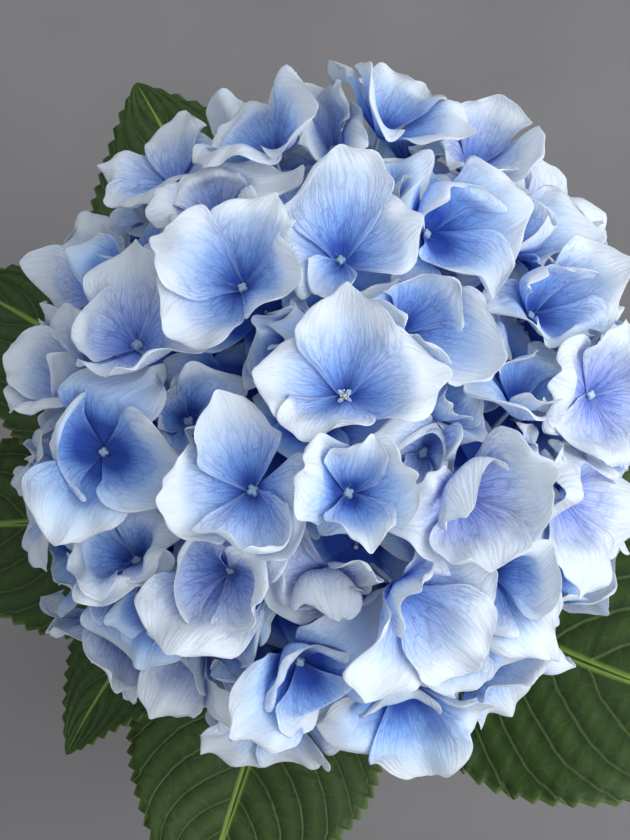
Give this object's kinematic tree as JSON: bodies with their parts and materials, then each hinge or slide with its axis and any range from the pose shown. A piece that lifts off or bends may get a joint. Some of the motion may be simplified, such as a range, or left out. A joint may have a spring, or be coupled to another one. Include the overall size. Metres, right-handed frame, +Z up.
{
  "type": "hydrangea in a vase",
  "caption": "Round blue mophead hydrangea on a leafy cut stem, standing in water in a plain bottle-shaped stoneware vase.",
  "frame": {"origin": "middle of the vase's flat foot", "axes": "+Z up; the head leans towards -Y, the side it is looked at from; +X to that viewer's right"},
  "size_m": [0.3224, 0.3051, 0.3868],
  "materials": {
    "stoneware": "matt off-white glaze with fine speckles",
    "water": "clear, still surface",
    "stem": "green, woody towards its foot, with pale pores",
    "leaf": "dark green, quilted between yellow-green veins, satin",
    "sepal": "matt, deep blue at the base to near white at the edge, finely veined"
  },
  "bodies": {
    "root": {"vase": "stoneware", "water": "water", "stem": "stem", "leaf_lower_left": "leaf", "leaf_back_right": "leaf", "leaf_front": "leaf", "leaf_back": "leaf", "leaf_right": "leaf", "leaf_upper_left": "leaf", "leaf_left": "leaf", "leaf_side_right": "leaf", "bloom": "sepal"}
  },
  "joints": []
}
